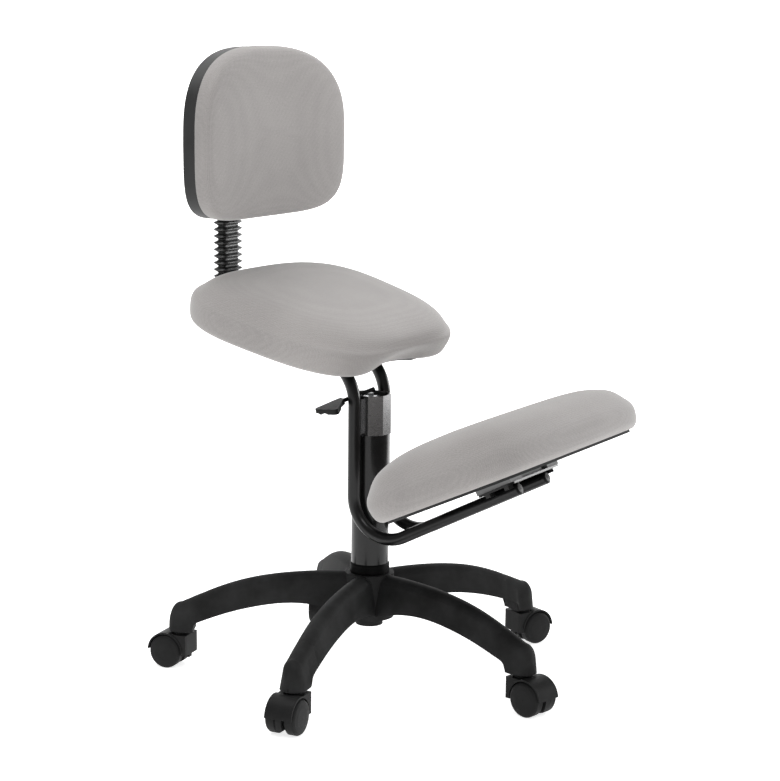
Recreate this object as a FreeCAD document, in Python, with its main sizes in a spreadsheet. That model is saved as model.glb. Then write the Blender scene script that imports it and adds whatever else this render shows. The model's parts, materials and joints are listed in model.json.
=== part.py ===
import FreeCAD, Part
import math
import operator
import os

import Sketcher

V = FreeCAD.Vector
X_AXIS, Y_AXIS, Z_AXIS = V(1, 0, 0), V(0, 1, 0), V(0, 0, 1)

# Kneeling chair. Millimetres. Origin on the floor under the column, +Z up, the sitter faces -Y.

SIZES = {
    # base and castors
    "arm_count": 5, "first_arm_yaw": 117.8, "castor_circle": 279.0, "wheel_rad": 25.0,
    "wheel_width": 17.5, "wheel_gap": 11.0, "castor_trail": 19.0, "axle_rad": 3.0, "stem_rad": 5.5,
    "hood_gap": 1.3, "hood_wall": 2.4, "socket_rad": 19.5, "arm_end_bottom": 57.0, "arm_wall": 4.0,
    "hub_rad": 36.0, "hub_bottom": 86.0, "hub_top": 153.0, "hub_boss_rad": 20.0, "hub_boss_drop": 12.0,
    "rib_thick": 3.0,
    # column
    "column_rad": 27.5, "column_wall": 2.0, "column_seat": 89.0, "column_top": 360.7,
    "collar_rad": 29.0, "collar_tall": 15.0, "rod_rad": 5.0, "cylinder_rad": 14.0, "cylinder_bore": 12.0,
    "cylinder_bottom": 108.0, "lift_travel": 120.0, "bush_length": 78.0, "valve_rad": 4.0,
    # head under the seat
    "sleeve_flats": 54.5, "sleeve_wall": 3.0, "sleeve_tall": 58.0, "head_gap": 0.3, "cone_depth": 50.0,
    "lever_yaw": 156.8, "lever_slope": 12.5, "lever_rad": 3.0, "lever_pivot": 22.0, "lever_top": 424.0,
    "lever_reach": 62.0, "paddle_width": 42.0, "paddle_thick": 8.0, "pivot_rad": 1.5,
    # tubular frame
    "tube_rad": 9.0, "tube_wall": 2.0, "tube_spacing": 84.0, "tube_y": 2.5, "tube_low": 181.0,
    "top_bend": 70.0, "low_bend": 57.0, "tube_front": -264.5, "tube_rear": 140.0,
    # seat
    "seat_slope": 15.0, "seat_y": 84.0, "seat_z": 496.2, "seat_width": 424.0, "seat_depth": 326.0,
    "seat_thick": 70.0, "plate_thick": 3.0, "board_thick": 12.0, "seat_plate_x": 190.0,
    "seat_plate_y": 150.0, "bolt_rad": 4.0, "arch_rad": 110.0, "arch_deep": 34.0,
    # back support
    "bar_width": 40.0, "bar_thick": 6.0, "bar_y": 253.0, "bar_top": 829.0, "bar_front": 45.0,
    "bar_bend": 30.0, "slide_gap": 0.3, "back_width": 362.0, "back_mid_z": 789.0, "back_up": 125.0,
    "back_down": 122.0, "back_curve": 1200.0, "back_front_y": 190.0, "shell_deep": 25.0,
    "shell_wall": 4.0, "back_pad": 26.0, "carrier_bottom": 674.0, "carrier_tall": 100.0,
    "carrier_width": 64.0, "bellows_bottom": 564.0, "pleats": 11, "knob_rad": 20.0, "knob_tall": 18.0,
    # knee pad
    "knee_slope": 27.2, "pad_slope": 24.9, "knee_y": -248.0, "knee_width": 480.0, "knee_front": 130.0,
    "knee_back": 142.0, "knee_thick": 82.0, "knee_block": 7.0, "knee_plate_x": 148.0, "knee_plate_y": 60.0,
    # clearances
    "run_gap": 0.05, "soft_gap": 0.3,
}

doc = FreeCAD.newDocument("kneeling_chair")
sheet = doc.addObject("Spreadsheet::Sheet", "Sizes")


class Size:
    """A number together with the spreadsheet expression that gives it."""

    def __init__(self, value, text):
        self.value, self.text = float(value), text

    def _join(self, other, sign, swap=False):
        other = other if isinstance(other, Size) else Size(other, repr(float(other)))
        a, b = (other, self) if swap else (self, other)
        value = {"+": operator.add, "-": operator.sub, "*": operator.mul, "/": operator.truediv}[sign](
            a.value, b.value)
        return Size(value, f"({a.text} {sign} {b.text})")

    def __add__(self, other):
        return self._join(other, "+")

    def __radd__(self, other):
        return self._join(other, "+", True)

    def __sub__(self, other):
        return self._join(other, "-")

    def __rsub__(self, other):
        return self._join(other, "-", True)

    def __mul__(self, other):
        return self._join(other, "*")

    def __rmul__(self, other):
        return self._join(other, "*", True)

    def __truediv__(self, other):
        return self._join(other, "/")

    def __rtruediv__(self, other):
        return self._join(other, "/", True)

    def __neg__(self):
        return Size(-self.value, f"(0 - {self.text})")

    def __float__(self):
        return self.value


def trig(function, angle):
    """sin, cos or tan of a size in degrees."""
    value = getattr(math, function)(math.radians(angle.value))
    return Size(value, f"{function}({angle.text} * 1 deg)")


def fill_sheet():
    sizes = {}
    for row, (alias, value) in enumerate(SIZES.items(), start=1):
        sheet.set(f"A{row}", alias)
        sheet.set(f"B{row}", str(value))
        sheet.setAlias(f"B{row}", alias)
        sizes[alias] = Size(value, f"Sizes.{alias}")
    doc.recompute()
    return type("Named", (), sizes)


s = fill_sheet()
NODES = []


# Helpers: placing, primitives and booleans


def text_of(value):
    return value.text if isinstance(value, Size) else repr(float(value))


def place(obj, x=0, y=0, z=0, axis=Z_AXIS, angle=0):
    """Binds an object's Placement to sizes: a turn about an axis, then a shift."""
    obj.Placement = FreeCAD.Placement(V(float(x), float(y), float(z)), FreeCAD.Rotation(axis, float(angle)))
    for name, value in (("Base.x", x), ("Base.y", y), ("Base.z", z), ("Rotation.Angle", angle)):
        if isinstance(value, Size):
            unit = " * 1 deg" if "Angle" in name else ""
            obj.setExpression(f"Placement.{name}", f"({value.text}){unit}")
    return obj


def cylinder(name, radius, height, x=0, y=0, z=0, axis=Z_AXIS, angle=0):
    obj = doc.addObject("Part::Cylinder", name)
    obj.setExpression("Radius", text_of(radius))
    obj.setExpression("Height", text_of(height))
    return place(obj, x, y, z, axis, angle)


def block(name, length, width, height, x=0, y=0, z=0):
    """A box centred on x and y that stands on z."""
    obj = doc.addObject("Part::Box", name)
    for side, size in (("Length", length), ("Width", width), ("Height", height)):
        obj.setExpression(side, text_of(size))
    return place(obj, x - length / 2, y - width / 2, z)


def fuse(name, *shapes):
    obj = doc.addObject("Part::MultiFuse", name)
    obj.Shapes = list(shapes)
    obj.Refine = True
    return obj


def cut(name, base, *tools):
    for i, tool in enumerate(tools, start=1):
        obj = doc.addObject("Part::Cut", name if i == len(tools) else f"{name}_step_{i}")
        obj.Base, obj.Tool = base, tool
        base = obj
    obj.Refine = True
    return obj


def group(name, *shapes):
    obj = doc.addObject("Part::Compound", name)
    obj.Links = list(shapes)
    return obj


def node(obj, label, *frame):
    """Marks an object as a piece of the chair; a frame function sets its place."""
    for setter in frame:
        setter(obj)
    obj.Label = label
    NODES.append(obj)
    return obj


# Helpers: sketches and bodies

PLANES = {"XY": "XY_Plane", "XZ": "XZ_Plane", "YZ": "YZ_Plane"}


def new_body(name):
    return doc.addObject("PartDesign::Body", name)


def new_sketch(body, name, plane, offset=None):
    sketch = body.newObject("Sketcher::SketchObject", name)
    origin_plane = next(f for f in body.Origin.OriginFeatures if f.Role == PLANES[plane])
    sketch.AttachmentSupport = [(origin_plane, "")]
    sketch.MapMode = "FlatFace"
    if offset is not None:
        sketch.setExpression("AttachmentOffset.Base.z", text_of(offset))
    return sketch


def pin_point(sketch, geometry, vertex, x, y):
    """Fixes one sketch point at sizes x, y from the sketch origin."""
    for kind, value, axis in (("DistanceX", x, -2), ("DistanceY", y, -1)):
        if abs(float(value)) < 1e-9:
            sketch.addConstraint(Sketcher.Constraint("PointOnObject", geometry, vertex, axis))
            continue
        row = sketch.addConstraint(Sketcher.Constraint(kind, -1, 1, geometry, vertex, float(value)))
        if isinstance(value, Size):
            sketch.setExpression(f"Constraints[{row}]", value.text)


def polygon(sketch, points):
    corners = [V(float(x), float(y), 0) for x, y in points]
    count = len(corners)
    first = sketch.GeometryCount
    for i, corner in enumerate(corners):
        sketch.addGeometry(Part.LineSegment(corner, corners[(i + 1) % count]), False)
    for i in range(count):
        after = first + (i + 1) % count
        sketch.addConstraint(Sketcher.Constraint("Coincident", first + i, 2, after, 1))
    for i, (x, y) in enumerate(points):
        pin_point(sketch, first + i, 1, x, y)


def rectangle(sketch, width, height, x=0, y=0):
    x, y = x + width * 0, y + height * 0
    left, right = x - width / 2, x + width / 2
    low, high = y - height / 2, y + height / 2
    polygon(sketch, [(left, low), (right, low), (right, high), (left, high)])


def circle(sketch, radius, x=0, y=0):
    row = sketch.addGeometry(Part.Circle(V(float(x), float(y), 0), Z_AXIS, float(radius)), False)
    size = sketch.addConstraint(Sketcher.Constraint("Radius", row, float(radius)))
    sketch.setExpression(f"Constraints[{size}]", text_of(radius))
    pin_point(sketch, row, 3, x, y)


def pad(body, sketch, length, middle=False, backward=False):
    feature = body.newObject("PartDesign::Pad", f"{sketch.Name}_pad")
    feature.Profile = sketch
    feature.setExpression("Length", text_of(length))
    if middle:
        feature.SideType = "Symmetric"
    feature.Reversed = backward
    return feature


def pocket_through(body, sketch):
    feature = body.newObject("PartDesign::Pocket", f"{sketch.Name}_pocket")
    feature.Profile = sketch
    feature.Type = "ThroughAll"
    feature.SideType = "Symmetric"
    return feature


def turned(name, profile):
    """A body turned about Z from (radius, height) points."""
    body = new_body(name)
    sketch = new_sketch(body, f"{name}_profile", "XZ")
    polygon(sketch, profile)
    spin = body.newObject("PartDesign::Revolution", f"{name}_turn")
    spin.Profile = sketch
    spin.ReferenceAxis = (sketch, ["V_Axis"])
    spin.Angle = 360
    return body


def bent_path(body, name, plane, offset, corners, radii):
    """A sketch of straight runs through corners, joined by tangent arcs."""
    sketch = new_sketch(body, name, plane, offset)
    points = [V(float(x), float(y), 0) for x, y in corners]
    starts, ends, arcs = [points[0]], [], []
    for i, radius in enumerate(radii, start=1):
        back, ahead = (points[i - 1] - points[i]), (points[i + 1] - points[i])
        back.normalize()
        ahead.normalize()
        half = math.acos(back.dot(ahead)) / 2
        reach = float(radius) / math.tan(half)
        middle = points[i] + (back + ahead).normalize() * (float(radius) / math.sin(half))
        bulge = middle + (points[i] - middle).normalize() * float(radius)
        ends.append(points[i] + back * reach)
        starts.append(points[i] + ahead * reach)
        arcs.append(Part.Arc(ends[-1], bulge, starts[-1]))
    ends.append(points[-1])
    lines = []
    for start, end in zip(starts, ends):
        lines.append(sketch.addGeometry(Part.LineSegment(start, end), False))
    marks = []
    for (x, y), point in zip(corners, points):
        mark = sketch.addGeometry(Part.Point(point), True)
        pin_point(sketch, mark, 1, x, y)
        marks.append(mark)
    for i, line in enumerate(lines):
        if i == 0:
            sketch.addConstraint(Sketcher.Constraint("Coincident", line, 1, marks[0], 1))
        else:
            sketch.addConstraint(Sketcher.Constraint("PointOnObject", marks[i], 1, line))
        if i == len(lines) - 1:
            sketch.addConstraint(Sketcher.Constraint("Coincident", line, 2, marks[-1], 1))
        else:
            sketch.addConstraint(Sketcher.Constraint("PointOnObject", marks[i + 1], 1, line))
    for i, (arc, radius) in enumerate(zip(arcs, radii)):
        row = sketch.addGeometry(arc, False)
        first_end = nearest_end(sketch, row, ends[i])
        sketch.addConstraint(Sketcher.Constraint("Tangent", lines[i], 2, row, first_end))
        sketch.addConstraint(Sketcher.Constraint("Tangent", lines[i + 1], 1, row, 3 - first_end))
        size = sketch.addConstraint(Sketcher.Constraint("Radius", row, float(radius)))
        sketch.setExpression(f"Constraints[{size}]", text_of(radius))
    return sketch


def nearest_end(sketch, row, point):
    """Which end of an arc, 1 or 2, lies at a point."""
    gaps = [(sketch.getPoint(row, end) - point).Length for end in (1, 2)]
    return 1 if gaps[0] < gaps[1] else 2


def pipe(body, name, profile, path):
    feature = body.newObject("PartDesign::AdditivePipe", name)
    feature.Profile = profile
    feature.Spine = path
    return feature


# Base: five drooping hollow arms on a hub, with a socket for a castor at the end of each

# station: (radius as a share of the castor circle, top below hub_top, underside above arm_end_bottom,
# width below, width above)
ARM_STATIONS = [
    (0.07, 0.6, 33.0, 46.0, 32.0),
    (0.22, 0.6, 45.0, 46.0, 31.0),
    (0.39, 3.5, 50.5, 44.5, 29.0),
    (0.57, 10.5, 45.0, 42.5, 28.0),
    (0.74, 23.0, 33.0, 41.0, 27.0),
    (0.90, 41.0, 16.5, 39.5, 26.0),
    (0.97, 50.0, 8.0, 39.0, 26.0),
]
# the rounded end over the socket: how far its top lies below hub_top over the stem, how much it falls
# to its tip, and the share of the width that is left above
END_DROP, END_FALL, END_NARROW = 50.5, 40.0, 0.66
RIB_SHARES = (0.34, 0.52, 0.70)


def arm_section(radius, top, bottom, wide, narrow):
    """A section across an arm: flat below, sides that lean in, a rounded top."""
    shoulder = top - narrow * 0.36
    corners = [V(radius, -wide / 2, bottom), V(radius, wide / 2, bottom)]
    corners += [V(radius, narrow / 2, shoulder), V(radius, -narrow / 2, shoulder)]
    crown = Part.Arc(corners[2], V(radius, 0, top), corners[3]).toShape()
    edges = [Part.makeLine(corners[0], corners[1]), Part.makeLine(corners[1], corners[2])]
    return Part.Wire(edges + [crown, Part.makeLine(corners[3], corners[0])])


def arm_shape():
    circle_rad, wall = float(s.castor_circle), float(s.arm_wall)
    high, low = float(s.hub_top), float(s.arm_end_bottom)
    outer = []
    hollow = []
    for share, drop, rise, wide, narrow in ARM_STATIONS:
        radius, top, bottom = share * circle_rad, high - drop, low + rise
        outer.append(arm_section(radius, top, bottom, wide, narrow))
        hollow.append(arm_section(radius, top - wall, bottom - 1, wide - 2 * wall, narrow - 2 * wall))
    cavity = Part.makeLoft(hollow[1:-2], True, False)
    thick = float(s.rib_thick)
    ribs = [Part.makeBox(thick, 80, 200, V(share * circle_rad, -40, 0)) for share in RIB_SHARES]
    arm = Part.makeLoft(outer, True, False)
    return arm.cut(cavity.cut(ribs))


def arm_end_shape():
    """The end of an arm: straight-sided to the stem, then half round, its top falling to the tip."""
    middle, radius = float(s.castor_circle), float(s.socket_rad)
    bottom, high = float(s.arm_end_bottom), float(s.hub_top) - END_DROP
    sections = [
        arm_section(middle - radius * back, high + radius * back * 0.5, bottom, 2 * radius, 2 * radius * END_NARROW)
        for back in (0.95, 0.5)
    ]
    steps = 7
    for k in range(steps):
        turn = math.radians(84.0 * k / (steps - 1))
        half = radius * math.cos(turn)
        top = high - END_FALL * (1 - math.cos(turn)) ** 1.2
        sections.append(arm_section(middle + radius * math.sin(turn), top, bottom, 2 * half,
                                    2 * half * END_NARROW))
    return Part.makeLoft(sections, True, False)


def star_base():
    arm = arm_shape().fuse(arm_end_shape())
    socket = Part.makeCylinder(
        float(s.stem_rad + s.run_gap), 38, V(float(s.castor_circle), 0, float(s.arm_end_bottom))
    )
    arms = []
    sockets = []
    for k in range(int(float(s.arm_count))):
        turn = float(s.first_arm_yaw) + 360 * k / float(s.arm_count)
        arms.append(arm.rotated(V(), Z_AXIS, turn))
        sockets.append(socket.rotated(V(), Z_AXIS, turn))
    hub_tall = float(s.hub_top - s.hub_bottom)
    hub = Part.makeCylinder(float(s.hub_rad), hub_tall, V(0, 0, float(s.hub_bottom)))
    drop = float(s.hub_boss_drop)
    boss = Part.makeCylinder(float(s.hub_boss_rad), drop + 20, V(0, 0, float(s.hub_bottom) - drop))
    bore = Part.makeCylinder(float(s.column_rad), 100, V(0, 0, float(s.column_seat)))
    clip_room = Part.makeCylinder(12, 60, V(0, 0, float(s.column_seat) - 60))
    shape = hub.fuse([boss] + arms).cut([bore, clip_room] + sockets)
    base = doc.addObject("Part::Feature", "star_base_body")
    base.Shape = shape.removeSplitter()
    node(base, "star_base")


# Castor: a stem in the socket, a hood that trails, two wheels on one axle


def wheel_body():
    """A turned wheel about Z, its outer face at the high side."""
    rad, wide = s.wheel_rad, s.wheel_width
    return turned("wheel_master", [
        (s.axle_rad + s.run_gap, 0), (rad - 7, 0), (rad - 5, 1), (rad - 2, 1), (rad, 3),
        (rad, wide - 4), (rad - 1.5, wide - 1.5), (rad - 4, wide - 0.4), (rad * 0.55, wide + 0.5),
        (0, wide + 0.8), (0, wide - 3), (s.axle_rad + s.run_gap, wide - 3),
    ])


def castor_hood():
    """Web between the wheels, a round fender over them and a neck for the stem."""
    rad = s.wheel_rad + s.hood_gap
    outer = rad + s.hood_wall
    span = s.wheel_gap + 2 * s.wheel_width - 5
    trail = s.castor_trail
    across = dict(x=trail, z=s.wheel_rad, axis=X_AXIS, angle=90)
    shell = cylinder("hood_shell", outer, span, y=span / 2, **across)
    room = cylinder("hood_room", rad, span + 20, y=span / 2 + 10, **across)
    below = block("hood_below", outer * 3, span * 2, s.wheel_rad + 12, x=trail, z=-10)
    fender = cut("hood_fender", shell, room, below)
    web_disc = cylinder("hood_web_disc", rad + 1, s.wheel_gap - 2, y=(s.wheel_gap - 2) / 2, **across)
    web_low = block("hood_web_low", outer * 3, span, 20, x=trail, z=-10)
    web = cut("hood_web", web_disc, web_low)
    neck_top = s.arm_end_bottom - 2.5
    neck_low = s.wheel_rad * 2 - 8
    neck = cylinder("hood_neck", s.stem_rad + 9, neck_top - neck_low, z=neck_low)
    throat = block("hood_throat", s.stem_rad * 2 + 12, s.wheel_gap - 2, neck_low - 14, x=-2, z=16)
    housing = new_body("hood_housing")
    sketch = new_sketch(housing, "hood_housing_outline", "XY", s.wheel_rad - 4)
    half, back = span / 2 - 1, trail + 1
    polygon(sketch, [(-back + 4, -half), (8, -half), (8, half), (-back + 4, half), (-back, half - 5),
                     (-back, 5 - half)])
    pad(housing, sketch, neck_top - 2.5 - (s.wheel_rad - 4))
    solid = fuse("hood_solid", fender, web, neck, throat, housing)
    stem_hole = cylinder("hood_stem_hole", s.stem_rad, 60, z=neck_low - 14)
    axle_hole = cylinder("hood_axle_hole", s.axle_rad, span, y=span / 2, **across)
    wheel_room = []
    for side in (-1, 1):
        place_y = s.wheel_gap / 2 + (s.wheel_width + 12) / 2
        place_y = place_y if side > 0 else -place_y
        wheel_room.append(cylinder(
            f"hood_wheel_room_{'right' if side > 0 else 'left'}", rad, s.wheel_width + 12,
            x=trail, y=place_y + (s.wheel_width + 12) / 2, z=s.wheel_rad, axis=X_AXIS, angle=90,
        ))
    return cut("hood_master", solid, stem_hole, axle_hole, *wheel_room)


def castor_stem():
    """A steel pin with a grip collar near its top."""
    low, top = s.wheel_rad * 2 - 22, s.arm_end_bottom + 36
    rad = s.stem_rad
    return turned("stem_master", [
        (0, low), (rad, low), (rad, top - 10), (rad - 1, top - 9), (rad - 1, top - 5), (rad, top - 4),
        (rad, top - 1), (rad - 1, top), (0, top),
    ])


def castors():
    wheel, hood, stem = wheel_body(), castor_hood(), castor_stem()
    half_axle = s.wheel_gap / 2 + s.wheel_width - 3.5
    axle = cylinder("axle_master", s.axle_rad, 2 * half_axle)
    # directions in which the five castors trail, as found at rest
    trails = (99.0, 186.0, 257.0, 335.0, 205.0)
    for k, trail_yaw in enumerate(trails):
        yaw = s.first_arm_yaw + 360.0 * k / s.arm_count
        spot = dict(x=s.castor_circle * trig("cos", yaw), y=s.castor_circle * trig("sin", yaw))
        name = f"castor_{k + 1}"
        for master, piece in ((hood, "hood"), (stem, "stem")):
            copy = group(f"{name}_{piece}_copy", master)
            place(copy, angle=trail_yaw, **spot)
            node(copy, f"{name}_{piece}")
        across = FreeCAD.Rotation(Z_AXIS, trail_yaw)
        hub_x = spot["x"] + s.castor_trail * math.cos(math.radians(trail_yaw))
        hub_y = spot["y"] + s.castor_trail * math.sin(math.radians(trail_yaw))
        side_way = across.multVec(Y_AXIS)
        for piece, master, start, flip in (
            ("axle", axle, -half_axle, 1),
            ("wheel_left", wheel, s.wheel_gap / 2, 1),
            ("wheel_right", wheel, -s.wheel_gap / 2, -1),
        ):
            copy = group(f"{name}_{piece}_copy", master)
            turn = FreeCAD.Rotation(Z_AXIS, side_way * flip)
            place(copy, hub_x + start * side_way.x, hub_y + start * side_way.y, s.wheel_rad,
                  turn.Axis, math.degrees(turn.Angle))
            node(copy, f"{name}_{piece}")


# Column: outer tube, guide bush and the gas spring inside it


def column():
    rad, wall, seat, top = s.column_rad, s.column_wall, s.column_seat, s.column_top
    hole = s.rod_rad + s.run_gap
    node(turned("column_tube_body", [
        (hole, seat), (rad, seat), (rad, top), (rad - wall, top), (rad - wall, seat + 3), (hole, seat + 3),
    ]), "column_tube")
    node(turned("hub_collar_body", [
        (rad + s.run_gap, s.hub_top), (s.collar_rad, s.hub_top), (s.collar_rad, s.hub_top + s.collar_tall - 2),
        (s.collar_rad - 1, s.hub_top + s.collar_tall), (rad + s.run_gap, s.hub_top + s.collar_tall),
    ]), "hub_collar")
    bush_in, bush_out = s.cylinder_rad + s.run_gap, rad - wall - s.run_gap / 2
    low = top - s.bush_length
    node(turned("guide_bush_body", [
        (bush_in, low), (bush_out, low), (bush_out, top), (bush_in + 2, top), (bush_in, top - 2),
    ]), "guide_bush")
    bearing_low = seat + 3
    node(turned("thrust_bearing_body", [
        (hole + 0.5, bearing_low), (s.rod_rad + 7, bearing_low), (s.rod_rad + 7, bearing_low + 2),
        (s.rod_rad + 6, bearing_low + 2.5), (s.rod_rad + 6, bearing_low + 3.5), (s.rod_rad + 7, bearing_low + 4),
        (s.rod_rad + 7, bearing_low + 6), (hole + 0.5, bearing_low + 6),
    ]), "thrust_bearing")


def gas_spring():
    rod, bore = s.rod_rad, s.cylinder_bore
    seat = s.column_seat
    flange = seat + 9.2
    piston_low = s.cylinder_bottom + 16 + s.lift_travel + 6
    clip_top = seat - 0.2
    shaft = turned("piston_rod_body", [
        (0, seat - 8), (rod - 0.5, seat - 8), (rod, seat - 7.5), (rod, clip_top - 2), (rod - 1, clip_top - 2),
        (rod - 1, clip_top), (rod, clip_top), (rod, flange), (rod + 4, flange), (rod + 4, flange + 3),
        (rod, flange + 3), (rod, piston_low), (rod - 1, piston_low), (rod - 1, piston_low + 10),
        (0, piston_low + 10),
    ])
    piston = turned("piston_body", [
        (rod - 1, piston_low), (bore - 0.1, piston_low), (bore - 0.1, piston_low + 5),
        (bore - 1, piston_low + 5.5), (bore - 1, piston_low + 8), (bore - 0.1, piston_low + 8.5),
        (bore - 0.1, piston_low + 13), (0, piston_low + 13), (0, piston_low + 10), (rod - 1, piston_low + 10),
    ])
    node(group("piston_rod_group", shaft, piston), "piston_rod")
    node(turned("rod_clip_body", [
        (rod - 1, clip_top - 2), (rod + 4, clip_top - 2), (rod + 4, clip_top), (rod - 1, clip_top),
    ]), "rod_clip")
    low, rad = s.cylinder_bottom, s.cylinder_rad
    cone_low = s.column_top + s.head_gap
    top = cone_low + s.cone_depth + 4
    node(turned("gas_cylinder_body", [
        (rod + s.run_gap, low), (rad - 1, low), (rad, low + 1), (rad, cone_low), (rad - 1, top - 1),
        (rad - 2, top), (s.valve_rad + s.run_gap, top), (s.valve_rad + s.run_gap, cone_low - 10),
        (bore, cone_low - 10), (bore, low + 16), (rod + s.run_gap, low + 16),
    ]), "gas_cylinder")
    rod_low = s.lever_top - s.lever_rad / trig("cos", s.lever_slope)
    pin_top = rod_low - s.valve_rad * trig("tan", s.lever_slope) - s.soft_gap
    node(turned("valve_pin_body", [
        (0, cone_low - 4), (s.valve_rad, cone_low - 4), (s.valve_rad, pin_top - 0.8),
        (s.valve_rad - 0.8, pin_top), (0, pin_top),
    ]), "valve_pin")


# Head: the eight-sided sleeve between the tubes, its taper socket and the lever


def in_lever_frame(obj):
    """Local +X runs out along the lever, origin on the column axis at lever height."""
    tilt = FreeCAD.Rotation(Y_AXIS, float(s.lever_slope))
    turn = FreeCAD.Rotation(Z_AXIS, float(s.lever_yaw)).multiply(tilt)
    obj.Placement = FreeCAD.Placement(V(0, 0, float(s.lever_top)), turn)


def head():
    low, tall = s.column_top + s.head_gap, s.sleeve_tall
    cone_top = low + s.cone_depth
    rad = s.cylinder_rad
    inner = s.sleeve_flats / 2 - s.sleeve_wall
    ends = {}
    for name, across in (("outside", s.sleeve_flats), ("inside", inner * 2)):
        body = new_body(f"sleeve_{name}")
        sketch = new_sketch(body, f"sleeve_{name}_outline", "XY", low)
        reach = across / 2 / trig("cos", Size(22.5, "22.5"))
        polygon(sketch, [
            (reach * math.cos(math.radians(22.5 + 45 * k)), reach * math.sin(math.radians(22.5 + 45 * k)))
            for k in range(8)
        ])
        pad(body, sketch, tall)
        ends[name] = body
    wing = (s.tube_spacing - s.sleeve_flats) / 2 - s.tube_rad + 0.6
    middle = s.sleeve_flats / 2 + wing / 2 - 0.5
    wings = [
        block(f"sleeve_wing_{side}", wing + 1, 12, tall - 8, x=middle * way, y=s.tube_y, z=low + 4)
        for side, way in (("left", -1), ("right", 1))
    ]
    notch = block("sleeve_notch", 20, s.lever_rad * 2 + 4, 60)
    yaw = math.radians(float(s.lever_yaw))
    half = s.lever_rad + 2
    place(notch, (inner - 2) * math.cos(yaw) + half * math.sin(yaw),
          (inner - 2) * math.sin(yaw) - half * math.cos(yaw), low + tall - 12, Z_AXIS, s.lever_yaw)
    sleeve = cut("sleeve_cut", fuse("sleeve_solid", ends["outside"], *wings), ends["inside"], notch)
    node(sleeve, "octagon_sleeve")
    socket = turned("cone_socket_turned", [
        (rad + 0.02, low), (inner - 0.02, low), (inner - 0.02, cone_top),
        (rad + 0.02 - s.cone_depth / (s.cone_depth + 3), cone_top),
    ])
    ear_tall = s.lever_top - cone_top + 2
    ears = []
    for side in (-1, 1):
        ear = block(f"pivot_ear_{'right' if side > 0 else 'left'}", 7, 3, ear_tall)
        along, aside = s.lever_pivot - 3.5, side * (s.lever_rad + 1) - (3 if side < 0 else 0)
        place(ear, along * math.cos(yaw) - aside * math.sin(yaw),
              along * math.sin(yaw) + aside * math.cos(yaw), cone_top, Z_AXIS, s.lever_yaw)
        ears.append(ear)
    pin_z = s.lever_top - s.lever_pivot * trig("tan", s.lever_slope)
    hole = pivot_cylinder("pivot_hole", s.pivot_rad, pin_z)
    node(cut("cone_socket_cut", fuse("cone_socket_solid", socket, *ears), hole), "cone_socket")
    node(pivot_cylinder("lever_pin_rod", s.pivot_rad, pin_z), "lever_pin")
    lever()


def pivot_cylinder(name, radius, z):
    """A pin across the lever at its pivot."""
    yaw = math.radians(float(s.lever_yaw))
    half = float(s.lever_rad) + 4
    x = s.lever_pivot * math.cos(yaw) + half * math.sin(yaw)
    y = s.lever_pivot * math.sin(yaw) - half * math.cos(yaw)
    turn = FreeCAD.Rotation(Z_AXIS, V(-math.sin(yaw), math.cos(yaw), 0))
    return cylinder(name, radius, 2 * half, x, y, z, turn.Axis, math.degrees(turn.Angle))


def lever():
    """A round rod that rests over the valve pin, and a fan-shaped paddle on its outer end."""
    rod = cylinder("lever_rod_bar", s.lever_rad, s.lever_reach + 5, x=-5, axis=Y_AXIS, angle=90)
    # the pivot lies on the rod's line, lever_pivot out from the column axis
    along = s.lever_pivot / trig("cos", s.lever_slope)
    hole = cylinder("lever_rod_hole", s.pivot_rad + s.run_gap, 20, x=along, y=10, axis=X_AXIS, angle=90)
    rod_node = cut("lever_rod_cut", rod, hole)
    node(rod_node, "lever_rod", in_lever_frame)
    body = new_body("paddle_body")
    sketch = new_sketch(body, "paddle_outline", "XY", -s.paddle_thick / 2)
    polygon(sketch, PADDLE_OUTLINE)
    fan = pad(body, sketch, s.paddle_thick)
    doc.recompute()
    corners = [
        f"Edge{i}" for i, edge in enumerate(fan.Shape.Edges, start=1)
        if edge.BoundBox.ZLength > 1 and edge.BoundBox.XMax > 70
    ]
    rounding = body.newObject("PartDesign::Fillet", "paddle_rounding")
    rounding.Base = (fan, corners)
    rounding.Radius = 5
    grooves = [
        cylinder(f"paddle_groove_{i + 1}", 7, 60, x=60, y=y, z=-float(s.paddle_thick) / 2 - 5,
                 axis=Y_AXIS, angle=90)
        for i, y in enumerate((-8.0, 4.0, 16.0))
    ]
    bore = cylinder("paddle_bore", s.lever_rad, s.lever_reach + 5, x=-5, axis=Y_AXIS, angle=90)
    node(cut("paddle_cut", body, bore, *grooves), "lever_paddle", in_lever_frame)


# paddle outline in the lever's own plane: along the lever, then to its left seen from above
PADDLE_OUTLINE = [
    (51.0, -5.0), (57.0, -5.5), (103.0, -1.0), (86.5, 37.6), (59.0, 10.0), (51.0, 4.5),
]


# Frames of the tilted parts


def in_seat_frame(obj):
    """Local origin on the seat's underside, +Y up the slope to the back, +Z through the cushion."""
    place(obj, 0, s.seat_y, s.seat_z, X_AXIS, s.seat_slope)


def knee_origin():
    lift = s.tube_rad + s.plate_thick + s.knee_block
    rise = s.tube_low + (s.tube_y - s.knee_y) * trig("tan", s.knee_slope)
    return s.knee_y + lift * trig("sin", s.knee_slope), rise + lift * trig("cos", s.knee_slope)


def in_knee_frame(obj):
    """Local origin on the knee pad's underside, +Y down the slope, +Z through the pad."""
    y, z = knee_origin()
    place(obj, 0, y, z, X_AXIS, -s.knee_slope)


def in_pad_frame(obj):
    """The knee frame leaned back a little, so that the pad lies flatter than the tubes."""
    y, z = knee_origin()
    place(obj, 0, y, z, X_AXIS, -s.pad_slope)


# Tubular frame: two bent tubes, straight up beside the column, forward to the knee pad


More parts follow.
